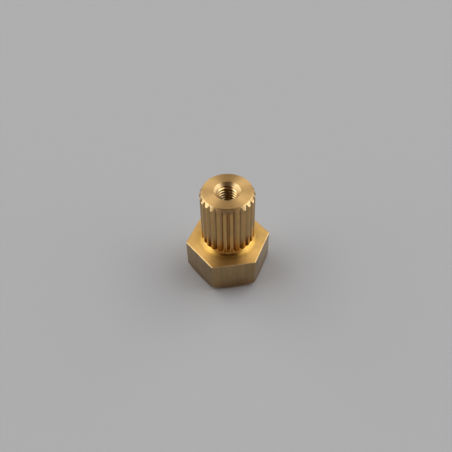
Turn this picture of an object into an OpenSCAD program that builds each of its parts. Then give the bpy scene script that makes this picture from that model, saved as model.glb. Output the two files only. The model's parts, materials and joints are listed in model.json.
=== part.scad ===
// Tapped insert turned from one piece of hexagon brass bar.
// A hexagon head carries a round shank with a straight knurl, and one tapped hole runs through both.
// Millimetres, +Z up. The origin is the centre of the head's underside, and a flat of the hexagon
// faces -Y.

/* [Head] */
// Distance across the flats of the hexagon
head_across_flats = 11; // [10:0.1:14]
// Height of the hexagon
head_height = 5.4; // [3:0.1:10]
// Diameter of the flat round land that the corner chamfer leaves on the underside
head_land_diameter = 10; // [9.6:0.1:10.8]
// Slope of the corner chamfer, measured from the underside
head_chamfer_angle = 30; // [15:1:45]

/* [Shank] */
// Length of the shank above the head
shank_length = 9.6; // [5:0.1:20]
// Diameter of the plain neck between the head and the knurl
neck_diameter = 6.9; // [6:0.05:6.95]
// Height of the neck, up to the square shoulder where the knurl starts
neck_height = 1; // [1:0.05:3]
// Radius of the fillet between the neck and the head
base_fillet_radius = 0.8; // [0.3:0.05:0.9]
// Height of the chamfer at the top of the shank
end_chamfer_height = 0.74; // [0.2:0.02:1]
// Angle between that chamfer and the shank's axis
end_chamfer_angle = 27; // [20:1:45]

/* [Knurl] */
// Diameter over the ridges of the knurl
knurl_diameter = 7.85; // [7.8:0.05:8.4]
// Number of ridges around the shank, which is also the number of grooves
ridge_count = 25; // [18:1:25]
// Depth of the grooves, measured from the tips of the ridges
groove_depth = 0.32; // [0.2:0.01:0.46]
// Angle between the two walls of a groove
groove_angle = 90; // [60:1:90]
// Width of the flat at the bottom of a groove
groove_floor_width = 0.05; // [0.02:0.01:0.1]

/* [Tapped hole] */
// Minor diameter of the thread, which is the bore that the tap leaves
thread_minor_diameter = 2.5; // [2:0.05:3.4]
// Diameter of the countersink at each end of the hole
countersink_diameter = 3.8; // [3.5:0.1:5]
// Angle of the countersinks' cone
countersink_angle = 90; // [60:1:120]

/* [Hidden] */
$fn = 96;
// Sides of the hexagon
HEX_SIDES = 6;
// How far cutting shapes run past the surface that they cut
CUT_MARGIN = 0.5;
// Direction that one ridge of the knurl and one flat of the hexagon both face
FRONT_ANGLE = -90;

total_height = head_height + shank_length;
corner_radius = head_across_flats / 2 / cos(180 / HEX_SIDES);
land_radius = head_land_diameter / 2;
corner_chamfer_height = (corner_radius - land_radius) * tan(head_chamfer_angle);

neck_radius = neck_diameter / 2;
tip_radius = knurl_diameter / 2;
root_radius = tip_radius - groove_depth;
face_radius = tip_radius - end_chamfer_height * tan(end_chamfer_angle);
knurl_start = head_height + neck_height;
// The grooves' cutters start halfway up the plain part of the neck, which they don't reach
groove_start = knurl_start - (neck_height - base_fillet_radius) / 2;
pitch_angle = 360 / ridge_count;

bore_radius = thread_minor_diameter / 2;
countersink_radius = countersink_diameter / 2;
countersink_depth = (countersink_radius - bore_radius) / tan(countersink_angle / 2);

// Hexagon with its lower corners turned off
module head() {
    intersection() {
        cylinder(r = corner_radius, h = head_height, $fn = HEX_SIDES);
        rotate_extrude()
            polygon([
                [0, 0],
                [land_radius, 0],
                [corner_radius, corner_chamfer_height],
                [corner_radius + CUT_MARGIN, corner_chamfer_height],
                [corner_radius + CUT_MARGIN, head_height + CUT_MARGIN],
                [0, head_height + CUT_MARGIN]
            ]);
    }
}

// Concave fillet that fills the corner between the neck and the head, as half of its section
module base_fillet_section() {
    translate([neck_radius, head_height])
        difference() {
            square(base_fillet_radius);
            translate([base_fillet_radius, base_fillet_radius])
                circle(r = base_fillet_radius);
        }
}

// The turned shank before it is knurled, as half of its section
module shank_section() {
    polygon([
        [0, 0],
        [neck_radius, 0],
        [neck_radius, knurl_start],
        [tip_radius, knurl_start],
        [tip_radius, total_height - end_chamfer_height],
        [face_radius, total_height],
        [0, total_height]
    ]);
}

// One groove of the knurl, as a section that opens towards +X
module groove_section() {
    reach = groove_depth + CUT_MARGIN;
    mouth = groove_floor_width / 2 + reach * tan(groove_angle / 2);
    translate([root_radius, 0])
        polygon([
            [0, -groove_floor_width / 2],
            [reach, -mouth],
            [reach, mouth],
            [0, groove_floor_width / 2]
        ]);
}

// All the grooves, open at the end face and at the knurl's shoulder
module knurl_grooves() {
    translate([0, 0, groove_start])
        linear_extrude(shank_length)
            for (i = [0 : ridge_count - 1])
                rotate(FRONT_ANGLE + (i + 0.5) * pitch_angle)
                    groove_section();
}

module shank() {
    difference() {
        rotate_extrude() {
            shank_section();
            base_fillet_section();
        }
        knurl_grooves();
    }
}

// One countersink, with its mouth at the origin and its point towards -Z
module countersink() {
    slope = tan(countersink_angle / 2);
    translate([0, 0, -countersink_depth])
        cylinder(
            r1 = bore_radius,
            r2 = countersink_radius + CUT_MARGIN * slope,
            h = countersink_depth + CUT_MARGIN
        );
}

// The hole with the thread's minor diameter and a countersink at each end
module tapped_hole() {
    translate([0, 0, -CUT_MARGIN])
        cylinder(r = bore_radius, h = total_height + 2 * CUT_MARGIN);
    translate([0, 0, total_height])
        countersink();
    mirror([0, 0, 1])
        countersink();
}

module tapped_insert() {
    color("goldenrod")
        difference() {
            union() {
                head();
                shank();
            }
            tapped_hole();
        }
}

tapped_insert();
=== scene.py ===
import json
import math

import bmesh
import bpy
import numpy as np
from mathutils import Matrix, Vector


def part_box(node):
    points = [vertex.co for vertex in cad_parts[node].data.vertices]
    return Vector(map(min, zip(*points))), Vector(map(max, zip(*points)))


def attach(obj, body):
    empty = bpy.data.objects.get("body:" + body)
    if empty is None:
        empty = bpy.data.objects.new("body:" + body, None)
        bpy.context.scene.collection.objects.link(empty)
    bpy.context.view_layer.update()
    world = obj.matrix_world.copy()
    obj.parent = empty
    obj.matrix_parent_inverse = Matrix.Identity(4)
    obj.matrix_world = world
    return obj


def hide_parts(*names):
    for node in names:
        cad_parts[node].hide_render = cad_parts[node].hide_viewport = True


# A brass insert: a hexagon head, a neck, a shank with a straight knurl, and an M3 x 0.5 thread through all.
# Lengths are in millimetres, apart from boxes, bounds and names that end in _M, which are in metres.
MM = 0.001
TURN = 2 * math.pi

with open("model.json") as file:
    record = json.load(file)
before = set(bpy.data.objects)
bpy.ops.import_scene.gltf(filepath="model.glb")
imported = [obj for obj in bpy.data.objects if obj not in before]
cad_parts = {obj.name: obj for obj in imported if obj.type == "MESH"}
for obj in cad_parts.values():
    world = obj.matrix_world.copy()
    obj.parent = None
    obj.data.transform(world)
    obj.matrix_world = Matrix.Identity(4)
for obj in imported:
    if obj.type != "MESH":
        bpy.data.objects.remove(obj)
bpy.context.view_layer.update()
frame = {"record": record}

# ---------------------------------------------------------------- sizes from the frame
NODE = "tapped_insert"
BODY = "root"
mounts = {m["name"]: m for m in frame["record"]["mounts"]}
low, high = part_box(NODE)
apothem = (high[1] - low[1]) / 2 / MM
total_height = high[2] / MM
head_height = mounts["head_shoulder"]["pos_m"][2] / MM
minor_radius = mounts["thread"]["dims"]["r_mm"]
countersink_depth = (total_height - mounts["thread"]["dims"]["length_mm"]) / 2
countersink_radius = minor_radius + countersink_depth

# ---------------------------------------------------------------- sizes as in the part's source
HEX_SIDES = 6
LAND_RADIUS = 5.0
CORNER_SLOPE = math.tan(math.radians(30))
NECK_RADIUS = 3.45
NECK_HEIGHT = 1.0
BASE_FILLET = 0.8
END_CHAMFER_HEIGHT = 0.74
END_CHAMFER_SLOPE = math.tan(math.radians(27))
TIP_RADIUS = 3.925
RIDGES = 25
GROOVE_DEPTH = 0.32
GROOVE_FLOOR = 0.05
GROOVE_SLOPE = math.tan(math.radians(45))
FRONT = -TURN / 4
ROOT_RADIUS = TIP_RADIUS - GROOVE_DEPTH
FACE_RADIUS = TIP_RADIUS - END_CHAMFER_HEIGHT * END_CHAMFER_SLOPE
KNURL_START = head_height + NECK_HEIGHT

# ---------------------------------------------------------------- sizes that only the dressed model has
THREAD_PITCH = 0.5
MAJOR_RADIUS = 1.5
THREAD_HALF_ANGLE = math.radians(30)
THREAD_ROOT_FLAT = THREAD_PITCH / 8
# rounding of the hexagon's upright edges, of the ridges' edges and of the grooves' bottoms
CORNER_ROUND = 0.10
CREST_ROUND = 0.04
ROOT_ROUND = 0.12
# radius of the hexagon's worn upper edge, and how much it varies round the head
HEAD_EDGE = 0.085
HEAD_EDGE_WEAR = 0.03
# width of the bevel on the other edges
FACE_EDGE = 0.03
# a ridge is low by up to twice the first, and its burr at the end chamfer stands out by up to the second
TIP_VARIATION = 0.012
TIP_BURR = 0.045
# numbers of waves round the part, whose sum makes the worn edge and the burrs uneven
WEAR_WAVES = (5, 11, 17, 29, 47, 71)
BURR_WAVES = (9, 14, 31, 53)
# added to the burrs' sum, so that they stand on more than half of the circle
BURR_BIAS = 0.3
# faces that meet at more than this angle keep a sharp edge
SHARP_ANGLE = math.radians(38)


# ---------------------------------------------------------------- shape helpers
def smooth_min(a, b, k):
    """The lesser of a and b, rounded where they meet over a height of about k."""
    h = np.clip(0.5 + 0.5 * (b - a) / k, 0, 1)
    return b + (a - b) * h - k * h * (1 - h)


def smooth_max(a, b, k):
    """The greater of a and b, rounded in the same way."""
    return -smooth_min(-a, -b, k)


def ripple(angles, waves, seed):
    """Uneven variation round a circle, within about -1 to 1, made of one sine for each number of waves."""
    phases = np.random.default_rng(seed).uniform(0, TURN, len(waves))
    total = sum(np.sin(n * angles + p) for n, p in zip(waves, phases))
    return total / math.sqrt(2 * len(waves))


# ---------------------------------------------------------------- angles
def outer_angles():
    """Angles of the outer skin's points, close together at the ridges, the grooves and the corners."""
    half_pitch = TURN / RIDGES / 2
    tip_edge = half_pitch - (GROOVE_FLOOR / 2 + GROOVE_DEPTH * GROOVE_SLOPE) / TIP_RADIUS
    floor_edge = half_pitch - GROOVE_FLOOR / 2 / ROOT_RADIUS
    # shares of half a ridge's tip, and of a groove's wall
    tip = tip_edge * np.array([0.0, 0.5, 0.8, 0.92])
    wall = tip_edge + (floor_edge - tip_edge) * np.array([0.0, 0.08, 0.2, 0.5, 0.8, 0.93])
    side = np.concatenate([tip, wall, [floor_edge]])
    local = np.concatenate([-side[:0:-1], side, [half_pitch]])
    knurl = np.concatenate([FRONT + k * 2 * half_pitch + local for k in range(RIDGES)])
    near = np.radians([-1.4, -0.75, -0.35, 0.0, 0.35, 0.75, 1.4])
    corners = np.concatenate([k * TURN / HEX_SIDES + near for k in range(HEX_SIDES)])
    angles = np.sort(np.mod(np.concatenate([knurl, corners]), TURN))
    apart = np.diff(np.concatenate([angles, [angles[0] + TURN]]))
    return angles[apart > math.radians(0.05)]


ANGLES = outer_angles()
# points round the hole
HOLE_COUNT = 112
HOLE_ANGLES = np.arange(HOLE_COUNT) * TURN / HOLE_COUNT


def hexagon_radius(angles):
    """Distance from the axis to the hexagon's sides, whose corners are slightly rounded."""
    sixth = TURN / HEX_SIDES
    from_middle = np.mod(angles, sixth) - sixth / 2
    side = apothem / np.cos(from_middle)
    next_side = apothem / np.cos(sixth - np.abs(from_middle))
    return smooth_min(side, next_side, CORNER_ROUND)


def tip_radii(angles):
    """Radius of the ridge nearest to each angle: no two ridges came out of the knurl quite alike."""
    ridge = np.round(np.mod(angles - FRONT, TURN) / TURN * RIDGES).astype(int) % RIDGES
    differences = np.random.default_rng(seed=7).uniform(-1, 1, RIDGES)
    return TIP_RADIUS + TIP_VARIATION * (differences[ridge] - 1)


def knurl_radius(angles):
    """Distance from the axis to the knurl: V grooves with rounded bottoms, and ridges with narrow tops."""
    pitch = TURN / RIDGES
    from_groove = pitch / 2 - np.abs(np.mod(angles - FRONT + pitch / 2, pitch) - pitch / 2)
    wall = ROOT_RADIUS * GROOVE_SLOPE - GROOVE_FLOOR / 2
    wall = wall / (GROOVE_SLOPE * np.cos(from_groove) - np.sin(from_groove))
    return smooth_min(smooth_max(wall, ROOT_RADIUS, ROOT_ROUND), tip_radii(angles), CREST_ROUND)


# ---------------------------------------------------------------- mesh building
class Skin:
    """A closed mesh made ring by ring."""

    def __init__(self):
        self.points, self.faces, self.looks = [], [], []

    def ring(self, angles, radius, height):
        radius = np.broadcast_to(radius, angles.shape)
        height = np.broadcast_to(height, angles.shape)
        first = len(self.points)
        rows = np.stack([radius * np.cos(angles), radius * np.sin(angles), height], axis=-1)
        self.points.extend(map(tuple, rows))
        return np.arange(first, first + len(angles))

    def face(self, corners, look):
        self.faces.append(tuple(int(c) for c in corners))
        self.looks.append(look)

    def strip(self, lower, upper, look):
        """Joins two rings of as many points each."""
        after_lower, after_upper = np.roll(lower, -1), np.roll(upper, -1)
        for corners in zip(lower, after_lower, after_upper, upper):
            self.face(corners, look)

    def bridge(self, lower, lower_angles, upper, upper_angles, look):
        """Joins two rings that have different numbers of points, going round by angle."""
        i = j = 0
        n, m = len(lower), len(upper)
        while i < n or j < m:
            next_i = lower_angles[(i + 1) % n] + TURN * ((i + 1) // n)
            next_j = upper_angles[(j + 1) % m] + TURN * ((j + 1) // m)
            if j >= m or (i < n and next_i <= next_j):
                self.face((lower[i % n], lower[(i + 1) % n], upper[j % m]), look)
                i += 1
            else:
                self.face((lower[i % n], upper[(j + 1) % m], upper[j % m]), look)
                j += 1


def head_rings(add):
    """The underside, the corner chamfer, the six drawn sides, the worn upper edge and the head's top."""
    hexagon = hexagon_radius(ANGLES)
    chamfer_top = (hexagon - LAND_RADIUS) * CORNER_SLOPE
    # the flat underside, from outside the countersink
    for r in (2.3, 3.0, 4.0, LAND_RADIUS - 0.2, LAND_RADIUS - FACE_EDGE):
        add(r, 0.0, "turned")
    add(LAND_RADIUS + FACE_EDGE, FACE_EDGE * CORNER_SLOPE, "turned")
    for t in (0.5, 0.95):
        r = LAND_RADIUS + FACE_EDGE + (hexagon - LAND_RADIUS - FACE_EDGE) * t
        add(r, (r - LAND_RADIUS) * CORNER_SLOPE, "turned")
    add(hexagon, chamfer_top + FACE_EDGE, "turned")
    side_bottom = chamfer_top + 2 * FACE_EDGE
    # a little below the lowest that the worn edge reaches
    side_top = head_height - 0.12
    for t in (0.0, 0.25, 0.5, 0.75, 0.97):
        add(hexagon, side_bottom + (side_top - side_bottom) * t, "drawn")
    edge = HEAD_EDGE + HEAD_EDGE_WEAR * ripple(ANGLES, WEAR_WAVES, seed=3)
    for turn in (0.0, 0.25, 0.5, 0.75, 1.0):
        inward = edge * (1 - math.cos(turn * TURN / 4))
        down = edge * (1 - math.sin(turn * TURN / 4))
        add(hexagon - inward, head_height - down, "drawn" if turn == 0 else "worn")
    # the flat top, to just outside the fillet
    outer = hexagon - HEAD_EDGE - HEAD_EDGE_WEAR
    inner = NECK_RADIUS + BASE_FILLET + 0.06
    for t in (0.1, 0.4, 0.7, 1.0):
        add(outer + (inner - outer) * t, head_height, "turned")


def neck_rings(add):
    """The fillet that rises from the head, and the plain neck."""
    steps = 14
    for k in range(steps + 1):
        turn = k / steps * TURN / 4
        radius = NECK_RADIUS + BASE_FILLET * (1 - math.sin(turn))
        add(radius, head_height + BASE_FILLET * (1 - math.cos(turn)), "filleted")
    add(NECK_RADIUS, KNURL_START, "filleted")


def knurl_rings(add):
    """The shoulder above the neck, and the ridges and grooves up to the end chamfer that cuts them."""
    knurl = knurl_radius(ANGLES)
    for t in (0.5, 0.93):
        add(NECK_RADIUS + (knurl - NECK_RADIUS) * t, KNURL_START, "knurled")
    bottom = KNURL_START + FACE_EDGE
    add(knurl, bottom, "knurled")
    cut = total_height - (knurl - FACE_RADIUS) / END_CHAMFER_SLOPE
    for t in (0.02, 0.1, 0.25, 0.4, 0.55, 0.7, 0.85, 0.95):
        add(knurl, bottom + (cut - bottom) * t, "knurled")
    over_root = (knurl - ROOT_RADIUS) / GROOVE_DEPTH
    # most of the burr stands at the ridges' tops
    burr = TIP_BURR * np.clip(BURR_BIAS + ripple(ANGLES, BURR_WAVES, seed=11), 0, 1) * over_root ** 2
    add(knurl + burr, cut - burr * 0.5, "knurled")


def end_rings(add):
    """The end chamfer, its inner edge, and the end face as far as the countersink."""
    knurl = knurl_radius(ANGLES)
    for t in (0.12, 0.5, 1.0):
        r = knurl + (FACE_RADIUS + FACE_EDGE - knurl) * t
        add(r, total_height - (r - FACE_RADIUS) / END_CHAMFER_SLOPE, "chamfered")
    add(FACE_RADIUS - FACE_EDGE, total_height, "turned")
    for r in (FACE_RADIUS - 0.15, 2.9, 2.4, countersink_radius + 0.15):
        add(r, total_height, "turned")


def outer_rings():
    """The outer skin's rings, from the underside up, each with the look of the strip below it."""
    one = np.ones_like(ANGLES)
    rings = []

    def add(radius, height, look):
        rings.append((radius * one, height * one, look))

    for part in (head_rings, neck_rings, knurl_rings, end_rings):
        part(add)
    return rings


def thread_phases():
    """Places of the hole's lines across one pitch, and how deep the thread is cut at each, from 0 to 1."""
    depth = MAJOR_RADIUS - minor_radius
    flank = depth * math.tan(THREAD_HALF_ANGLE)
    crest = THREAD_PITCH - THREAD_ROOT_FLAT - 2 * flank
    places, cuts = [], []
    for t in (0, 1 / 3, 2 / 3):
        places.append(crest * t)
        cuts.append(0.0)
    for t in (0, 0.25, 0.5, 0.75):
        places.append(crest + flank * t)
        cuts.append(t)
    for t in (0, 0.5):
        places.append(crest + flank + THREAD_ROOT_FLAT * t)
        cuts.append(1.0)
    for t in (0, 0.25, 0.5, 0.75):
        places.append(crest + flank + THREAD_ROOT_FLAT + flank * t)
        cuts.append(1 - t)
    return np.array(places), np.array(cuts)


def add_hole(skin):
    """The tapped hole. Its lines follow the thread's helix and are clamped to the hole's two ends."""
    places, cuts = thread_phases()
    per_turn = len(places)
    turns = math.ceil(total_height / THREAD_PITCH) + 2
    depth = MAJOR_RADIUS - minor_radius
    grid = []
    for row in range(turns * per_turn):
        start = (row // per_turn - 1) * THREAD_PITCH + places[row % per_turn]
        height = np.clip(start + THREAD_PITCH * HOLE_ANGLES / TURN, 0, total_height)
        thread = minor_radius + depth * cuts[row % per_turn]
        cone = countersink_radius - np.minimum(height, total_height - height)
        grid.append((np.maximum(thread, cone), height, cone > thread))
    rings = [skin.ring(HOLE_ANGLES, r, z) for r, z, _ in grid]
    last = HOLE_COUNT - 1
    for row in range(len(rings) - 1):
        for i in range(HOLE_COUNT):
            if i < last:
                corners = (rings[row][i], rings[row][i + 1], rings[row + 1][i + 1], rings[row + 1][i])
            elif row + per_turn + 1 < len(rings):
                after = row + per_turn
                corners = (rings[row][i], rings[after][0], rings[after + 1][0], rings[row + 1][i])
            else:
                continue
            look = "cut" if grid[row][2][i] else "tapped"
            skin.face(corners[::-1], look)
    return rings[0], rings[-1]


# what the surfaces look like, in the order of brass_looks()
LOOKS = ["turned", "filleted", "worn", "cut", "chamfered", "drawn", "knurled", "tapped"]
# in metres: points nearer than the first are joined, and edges shorter than the second are dissolved
JOIN_DISTANCE_M = 2e-7
SHORT_EDGE_M = 1e-7


def build_mesh():
    """The whole skin as one mesh, with each face's material in the order of LOOKS."""
    skin = Skin()
    outer = outer_rings()
    ids = [skin.ring(ANGLES, r, z) for r, z, _ in outer]
    for k in range(1, len(ids)):
        skin.strip(ids[k - 1], ids[k], outer[k][2])
    hole_bottom, hole_top = add_hole(skin)
    skin.bridge(hole_bottom, HOLE_ANGLES, ids[0], ANGLES, "turned")
    skin.bridge(ids[-1], ANGLES, hole_top, HOLE_ANGLES, "turned")
    points = np.array(skin.points) * MM
    mesh = bpy.data.meshes.new("insert_skin")
    mesh.from_pydata(points.tolist(), [], skin.faces)
    mesh.polygons.foreach_set("material_index", [LOOKS.index(look) for look in skin.looks])
    return mesh


def clean(mesh):
    """Joins the points that the clamped thread lines share, and drops the faces left without area."""
    bm = bmesh.new()
    bm.from_mesh(mesh)
    bmesh.ops.remove_doubles(bm, verts=bm.verts, dist=JOIN_DISTANCE_M)
    bmesh.ops.dissolve_degenerate(bm, edges=bm.edges, dist=SHORT_EDGE_M)
    bmesh.ops.recalc_face_normals(bm, faces=bm.faces)
    open_edges = sum(len(e.link_faces) != 2 for e in bm.edges)
    print("points", len(bm.verts), "faces", len(bm.faces), "open edges", open_edges)
    bm.to_mesh(mesh)
    bm.free()


# ---------------------------------------------------------------- node helpers
class Graph:
    """Builds a node tree. An input given as a socket is linked, and anything else is its value."""

    def __init__(self, tree):
        self.tree = tree
        tree.nodes.clear()

    def add(self, kind, inputs=None, **settings):
        node = self.tree.nodes.new("ShaderNode" + kind)
        for name, value in settings.items():
            setattr(node, name, value)
        for name, value in (inputs or {}).items():
            if isinstance(value, bpy.types.NodeSocket):
                self.tree.links.new(value, node.inputs[name])
            else:
                node.inputs[name].default_value = value
        return node

    def math(self, operation, a, b=0.0):
        return self.add("Math", {0: a, 1: b}, operation=operation).outputs[0]

    def vector(self, operation, a, b=(0, 0, 0)):
        node = self.add("VectorMath", {0: a, 1: b}, operation=operation)
        return node.outputs["Value" if operation in ("DOT_PRODUCT", "LENGTH") else "Vector"]

    def spread(self, value, start, end, low=0.0, high=1.0):
        """value from start to end becomes low to high, with soft ends."""
        inputs = {"Value": value, "From Min": start, "From Max": end, "To Min": low, "To Max": high}
        return self.add("MapRange", inputs, interpolation_type="SMOOTHSTEP").outputs["Result"]

    def noise(self, place, scale, detail=2.0, roughness=0.5):
        """Noise that mostly lies between 0.3 and 0.7, with about scale waves to the unit of place."""
        inputs = {"Vector": place, "Scale": scale, "Detail": detail, "Roughness": roughness}
        return self.add("TexNoise", inputs).outputs["Fac"]

    def noise_along(self, distance, scale, detail=2.0, roughness=0.5):
        """The same, along one measure."""
        inputs = {"W": distance, "Scale": scale, "Detail": detail, "Roughness": roughness}
        return self.add("TexNoise", inputs, noise_dimensions="1D").outputs["Fac"]

    def blend(self, amount, a, b):
        """The colour a where amount is 0, and b where it is 1."""
        node = self.add("Mix", data_type="RGBA")
        for socket, value in zip((node.inputs[0], node.inputs[6], node.inputs[7]), (amount, a, b)):
            if isinstance(value, bpy.types.NodeSocket):
                self.tree.links.new(value, socket)
            elif isinstance(value, tuple):
                socket.default_value = (*value, 1)
            else:
                socket.default_value = value
        return node.outputs[2]

    def bump(self, height, depth_mm, under=None):
        inputs = {"Height": height, "Distance": depth_mm * MM, "Strength": 1.0}
        if under is not None:
            inputs["Normal"] = under
        return self.add("Bump", inputs).outputs["Normal"]


def brass_graph(name):
    """A new material's graph, with its place on the object in millimetres."""
    material = bpy.data.materials.new(name)
    material.use_nodes = True
    graph = Graph(material.node_tree)
    place = graph.add("TexCoord").outputs["Object"]
    place = graph.add("VectorMath", {0: place, "Scale": 1 / MM}, operation="SCALE").outputs["Vector"]
    return material, graph, place


def finish_brass(graph, color, roughness, normal, anisotropic=0.0, rotation=0.0):
    """Bare metal. Marks that run round the axis take a rotation of a quarter, and ones along it none."""
    if isinstance(color, tuple):
        color = (*color, 1)
    inputs = {"Base Color": color, "Metallic": 1.0, "Roughness": roughness, "Normal": normal}
    if anisotropic:
        inputs["Anisotropic"] = anisotropic
        inputs["Anisotropic Rotation"] = rotation
        inputs["Tangent"] = graph.add("Tangent", direction_type="RADIAL", axis="Z").outputs[0]
    shader = graph.add("BsdfPrincipled", inputs)
    graph.add("OutputMaterial", {"Surface": shader.outputs[0]})


# ---------------------------------------------------------------- brass
# lighter where it was cut or rubbed last, and darker where it has tarnished; some of these colours also
# serve as painted highlight, painted reflection or painted shade, as said where they are used
# paler and creamier: partly freshly cut or rubbed metal, partly a painted highlight colour that makes the
# glints look washed out
PALE = (0.68, 0.485, 0.240)
FRESH = (0.62, 0.400, 0.160)
RICH = (0.66, 0.395, 0.080)
GOLD = (0.68, 0.420, 0.130)
WARM = (0.56, 0.345, 0.130)
DULL = (0.42, 0.275, 0.130)
OLIVE = (0.33, 0.235, 0.115)
# painted light on the hexagon's flats towards +X and -X
PAINTED_SIDE_LIGHT = (0.55, 0.43, 0.27)
# dark specks and stains, and also painted shade in the knurl's grooves, in the thread's roots and low on
# the hexagon's sides
SOOT_AND_SHADE = (0.31, 0.175, 0.085)


def turned_brass(name, roughness, anisotropic, neck_roughness=None):
    """A lathe-turned surface: rings that follow the profile, chatter across them, stains and specks."""
    material, graph, place = brass_graph(name)
    radius = graph.vector("LENGTH", graph.vector("MULTIPLY", place, (1, 1, 0)))
    sides = graph.add("SeparateXYZ", {0: place}).outputs
    height = sides["Z"]
    # changes along flat faces and along upright ones, so that the rings show on both
    profile = graph.math("SUBTRACT", radius, graph.math("MULTIPLY", height, 0.37))
    fine = graph.noise_along(profile, 5.0, 3.0, 0.6)
    chatter = graph.noise_along(graph.math("ARCTAN2", sides["Y"], sides["X"]), 14.0, 2.0, 0.6)
    stain = graph.noise(place, 0.55, 4.0, 0.6)
    # painted reflection: the head and the fillet take a warmer, more saturated gold, for the warm light
    # that the brass around them throws onto them
    gold = graph.blend(graph.spread(radius, NECK_RADIUS + 0.4, NECK_RADIUS + 1.4), RICH, GOLD)
    color = graph.blend(graph.spread(height, head_height + 2.0, head_height + 0.5), FRESH, gold)
    color = graph.blend(graph.spread(fine, 0.35, 0.7, 0.0, 0.35), color, WARM)
    color = graph.blend(graph.spread(stain, 0.45, 0.7, 0.0, 0.3), color, DULL)
    specks = graph.noise(place, 5.0, 2.0, 0.6)
    color = graph.blend(graph.spread(specks, 0.64, 0.74, 0.0, 0.7), color, SOOT_AND_SHADE)
    # the fillet gets smoother towards the neck
    if neck_roughness is not None:
        roughness = graph.spread(radius, NECK_RADIUS + 0.1, NECK_RADIUS + 0.5, neck_roughness, roughness)
    uneven = graph.spread(graph.noise(place, 1.3, 3.0), 0.3, 0.7, -0.03, 0.03)
    uneven = graph.math("ADD", uneven, roughness)
    normal = graph.bump(fine, 0.003)
    normal = graph.bump(chatter, 0.006, normal)
    finish_brass(graph, color, uneven, normal, anisotropic, rotation=0.25)
    return material


def worn_brass():
    """The upper edge of the hexagon, with small nicks, in a pale colour that is partly rubbed metal and
    partly a painted highlight colour.
    """
    material, graph, place = brass_graph("brass_worn")
    nicks = graph.noise(place, 3.0, 3.0, 0.6)
    roughness = graph.spread(nicks, 0.3, 0.7, 0.30, 0.44)
    finish_brass(graph, PALE, roughness, graph.bump(nicks, 0.03))
    return material


def cut_brass(name, roughness, anisotropic, stained):
    """A countersink or the end chamfer, cut cleaner than the face beside it, in a pale colour that is
    partly fresh metal and partly a painted highlight colour.
    """
    material, graph, place = brass_graph(name)
    height = graph.add("SeparateXYZ", {0: place}).outputs["Z"]
    fine = graph.noise_along(height, 8.0, 2.0, 0.6)
    uneven = graph.spread(fine, 0.3, 0.7, roughness - 0.03, roughness + 0.03)
    stain = graph.noise(place, 2.0, 4.0, 0.7)
    color = graph.blend(graph.spread(stain, 0.4, 0.65, 0.0, stained), PALE, WARM)
    finish_brass(graph, color, uneven, graph.bump(fine, 0.002), anisotropic, rotation=0.25)
    return material


def drawn_brass():
    """The hexagon's sides, as the bar was drawn: lines along the axis, and an olive skin."""
    material, graph, place = brass_graph("brass_drawn")
    height = graph.add("SeparateXYZ", {0: place}).outputs["Z"]
    # stretched along the axis
    lines = graph.vector("MULTIPLY", place, (1, 1, 0.03))
    fine = graph.noise(lines, 9.0, 4.0, 0.7)
    broad = graph.noise(lines, 1.8, 3.0, 0.5)
    stain = graph.noise(place, 0.5, 4.0, 0.6)
    color = graph.blend(graph.spread(broad, 0.3, 0.7), OLIVE, DULL)
    # painted light: the flats towards +X are painted lighter, as if more brightly lit, and the ones towards
    # -X a little
    across = graph.vector("DOT_PRODUCT", place, (1, 0, 0))
    color = graph.blend(graph.spread(across, 2.6, 5.0), color, PAINTED_SIDE_LIGHT)
    color = graph.blend(graph.spread(across, -2.6, -5.0, 0.0, 0.35), color, PAINTED_SIDE_LIGHT)
    color = graph.blend(graph.spread(fine, 0.55, 0.75, 0.0, 0.5), color, SOOT_AND_SHADE)
    color = graph.blend(graph.spread(stain, 0.5, 0.75, 0.0, 0.5), color, SOOT_AND_SHADE)
    # painted shade: darker towards the underside, for the shade near the floor
    color = graph.blend(graph.spread(height, 2.6, 0.0, 0.0, 0.9), color, SOOT_AND_SHADE)
    roughness = graph.spread(fine, 0.3, 0.7, 0.30, 0.42)
    normal = graph.bump(fine, 0.008)
    normal = graph.bump(broad, 0.006, normal)
    finish_brass(graph, color, roughness, normal, anisotropic=0.6)
    return material


def knurled_brass():
    """The ridges and grooves, with the colour darkening from the tips into the grooves, most of all near
    the neck, as painted shade.
    """
    material, graph, place = brass_graph("brass_knurled")
    radius = graph.vector("LENGTH", graph.vector("MULTIPLY", place, (1, 1, 0)))
    # stretched along the axis
    lines = graph.vector("MULTIPLY", place, (1, 1, 0.02))
    fine = graph.noise(lines, 5.0, 2.0, 0.5)
    stain = graph.noise(place, 0.8, 3.0, 0.6)
    # painted shade: lighter at the tips and darker towards the grooves' bottoms
    outward = graph.spread(radius, ROOT_RADIUS, TIP_RADIUS)
    color = graph.blend(outward, DULL, WARM)
    color = graph.blend(graph.spread(stain, 0.45, 0.7, 0.0, 0.5), color, DULL)
    height = graph.add("SeparateXYZ", {0: place}).outputs["Z"]
    # painted shade: the grooves darken towards the neck
    low_groove_shade = graph.spread(height, KNURL_START + 1.5, KNURL_START, 0.0, 0.9)
    low_groove_shade = graph.math("MULTIPLY", low_groove_shade, graph.spread(outward, 0.95, 0.35))
    color = graph.blend(low_groove_shade, color, SOOT_AND_SHADE)
    roughness = graph.spread(fine, 0.3, 0.7, 0.14, 0.22)
    normal = graph.bump(fine, 0.003)
    finish_brass(graph, color, roughness, normal)
    return material


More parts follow.
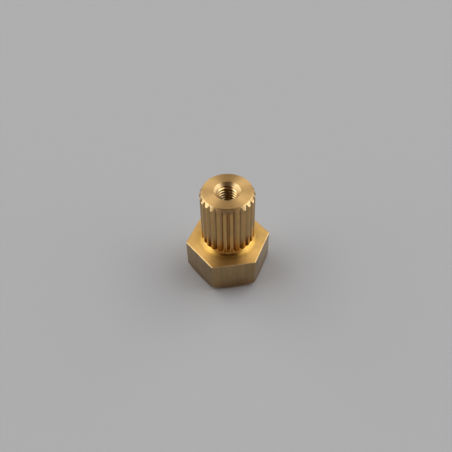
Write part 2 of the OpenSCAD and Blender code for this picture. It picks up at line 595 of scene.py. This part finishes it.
def tapped_brass():
    """The cut thread: pale crests, partly a painted highlight colour, and darker roots, partly painted
    shade and partly dirt, with fine marks that run round the hole.
    """
    material, graph, place = brass_graph("brass_tapped")
    height = graph.add("SeparateXYZ", {0: place}).outputs["Z"]
    fine = graph.noise_along(height, 14.0, 2.0)
    stain = graph.noise(place, 1.1, 3.0)
    color = graph.blend(graph.spread(stain, 0.4, 0.65), PALE, FRESH)
    radius = graph.vector("LENGTH", graph.vector("MULTIPLY", place, (1, 1, 0)))
    # painted shade with some dirt: darker towards the thread's roots
    root_shade_and_dirt = graph.spread(radius, minor_radius + 0.04, MAJOR_RADIUS - 0.06, 0.0, 0.6)
    color = graph.blend(root_shade_and_dirt, color, SOOT_AND_SHADE)
    roughness = graph.spread(fine, 0.3, 0.7, 0.15, 0.22)
    finish_brass(graph, color, roughness, graph.bump(fine, 0.003))
    return material


def brass_looks():
    """The materials, in the order of LOOKS."""
    return [
        turned_brass("brass_turned", 0.51, anisotropic=0.88),
        turned_brass("brass_filleted", 0.42, anisotropic=0.95, neck_roughness=0.22),
        worn_brass(),
        cut_brass("brass_cut", 0.34, anisotropic=0.88, stained=0.2),
        cut_brass("brass_chamfered", 0.32, anisotropic=0.9, stained=0.8),
        drawn_brass(),
        knurled_brass(),
        tapped_brass(),
    ]


# ---------------------------------------------------------------- the piece
def make_insert():
    """The insert as one closed mesh, shaded smooth apart from its sharp edges."""
    mesh = build_mesh()
    clean(mesh)
    mesh.polygons.foreach_set("use_smooth", [True] * len(mesh.polygons))
    mesh.set_sharp_from_angle(angle=SHARP_ANGLE)
    for material in brass_looks():
        mesh.materials.append(material)
    insert = bpy.data.objects.new("insert", mesh)
    bpy.context.scene.collection.objects.link(insert)
    normals = insert.modifiers.new("normals", "WEIGHTED_NORMAL")
    normals.keep_sharp = True
    return insert


insert = make_insert()
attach(insert, BODY)
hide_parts(NODE)

# ---------------------------------------------------------------- floor
FLOOR_HALF_M = 1.5
FLOOR_COLOR = (0.405, 0.412, 0.42, 1)


def make_floor():
    """A plain pale floor that reaches far past the picture."""
    mesh = bpy.data.meshes.new("floor")
    f = FLOOR_HALF_M
    mesh.from_pydata([(-f, -f, 0), (f, -f, 0), (f, f, 0), (-f, f, 0)], [], [(0, 1, 2, 3)])
    material = bpy.data.materials.new("floor")
    material.use_nodes = True
    shader = material.node_tree.nodes["Principled BSDF"]
    shader.inputs["Base Color"].default_value = FLOOR_COLOR
    shader.inputs["Roughness"].default_value = 0.9
    shader.inputs["Specular IOR Level"].default_value = 0.2
    mesh.materials.append(material)
    floor = bpy.data.objects.new("floor", mesh)
    bpy.context.scene.collection.objects.link(floor)
    return floor


make_floor()

# ---------------------------------------------------------------- camera
# The camera looks down at the insert from a little to the left of the flat that faces -Y.
CAMERA_TURN = math.radians(-7.774)
CAMERA_ELEVATION = math.radians(47.056)
CAMERA_ROLL = math.radians(-1.051)
CAMERA_DISTANCE = 85.863
# where the origin lies in the picture's plane, from its middle: to the right and up
ORIGIN_RIGHT = 0.369
ORIGIN_UP = -5.371
# focal length as a share of the picture's width
FOCAL_SHARE = 1.2022
SENSOR_MM = 36


def camera_axes():
    """Directions of the picture's right, the picture's top and the view."""
    right = Vector((1, 0, 0))
    ahead = Vector((0, math.cos(CAMERA_ELEVATION), -math.sin(CAMERA_ELEVATION)))
    up = right.cross(ahead)
    rolled_right = math.cos(CAMERA_ROLL) * right + math.sin(CAMERA_ROLL) * up
    rolled_up = -math.sin(CAMERA_ROLL) * right + math.cos(CAMERA_ROLL) * up
    turn = Matrix.Rotation(CAMERA_TURN, 3, "Z")
    return turn @ rolled_right, turn @ rolled_up, turn @ ahead


def make_camera():
    """The photo's camera: it looks past the insert, which stands a little off the picture's middle."""
    right, up, ahead = camera_axes()
    data = bpy.data.cameras.new("camera")
    data.sensor_width = SENSOR_MM
    data.lens = FOCAL_SHARE * SENSOR_MM
    data.clip_start = 0.001
    camera = bpy.data.objects.new("camera", data)
    matrix = Matrix((right, up, -ahead)).transposed().to_4x4()
    matrix.translation = (-ahead * CAMERA_DISTANCE - right * ORIGIN_RIGHT - up * ORIGIN_UP) * MM
    camera.matrix_world = matrix
    bpy.context.scene.collection.objects.link(camera)
    bpy.context.scene.camera = camera


make_camera()


# ---------------------------------------------------------------- lights
def studio_direction(azimuth, elevation):
    """A direction seen from the insert: azimuth 0 is towards the camera and 90 is on its right."""
    a = math.radians(azimuth) + CAMERA_TURN
    e = math.radians(elevation)
    return Vector((math.sin(a) * math.cos(e), -math.cos(a) * math.cos(e), math.sin(e)))


# brightness of the studio's parts, where 1 is white
CAMERA_SIDE = 0.04
CEILING = 0.9
TENT = 1.12
LAMP_BANKS = 2.3
SIDE_PANELS = 4.0
HORIZON = 0.42
# where its parts are, alike on both sides: the azimuths and then the elevations, each as four angles in
# degrees, at which the part starts, reaches its full brightness, begins to fade and ends
TENT_AREA = ((20, 90, 139, 159), (-30, -10, 48, 56))
PANEL_AREA = ((54, 74, 97, 165), (-30, -10, 0, 18))
LAMP_AREA = ((60, 91, 130, 210), (33, 48, 61, 85))
# elevations over which the ceiling brightens, and over which the haze at the horizon gives out
CEILING_RISE = (74, 90)
HAZE_FALL = (14, 5)
# colour of the room's dim parts, which are warmer than its lamps
DIM_LIGHT = (1.0, 0.55, 0.38)


def make_world():
    """A studio with a dark camera side, and with a tent, a low panel and a bank of lamps on each side."""
    world = bpy.data.worlds.new("studio")
    bpy.context.scene.world = world
    world.use_nodes = True
    graph = Graph(world.node_tree)
    direction = graph.add("TexCoord").outputs["Generated"]
    sideways = graph.vector("DOT_PRODUCT", direction, tuple(studio_direction(90, 0)))
    frontal = graph.vector("DOT_PRODUCT", direction, tuple(studio_direction(0, 0)))
    upward = graph.vector("DOT_PRODUCT", direction, (0, 0, 1))
    azimuth = graph.math("DEGREES", graph.math("ARCTAN2", graph.math("ABSOLUTE", sideways), frontal))
    elevation = graph.math("DEGREES", graph.math("ARCSINE", upward))

    def band(angle, start, full, fading, end):
        return graph.math("MULTIPLY", graph.spread(angle, start, full), graph.spread(angle, end, fading))

    strength = graph.spread(elevation, *CEILING_RISE, CAMERA_SIDE, CEILING)
    parts = ((TENT_AREA, TENT), (PANEL_AREA, SIDE_PANELS), (LAMP_AREA, LAMP_BANKS))
    for (azimuths, elevations), brightness in parts:
        share = graph.math("MULTIPLY", band(azimuth, *azimuths), band(elevation, *elevations))
        strength = graph.math("ADD", strength, graph.math("MULTIPLY", share, brightness))
    # low down, the room is no darker than the floor
    haze = graph.spread(elevation, *HAZE_FALL, 0.0, HORIZON)
    strength = graph.math("MAXIMUM", strength, haze)
    color = graph.blend(graph.spread(strength, 0.0, 0.9), DIM_LIGHT, (1, 1, 1))
    background = graph.add("Background", {"Color": color, "Strength": strength})
    graph.add("OutputWorld", {"Surface": background.outputs[0]})


make_world()
bpy.context.scene.view_settings.view_transform = "Standard"
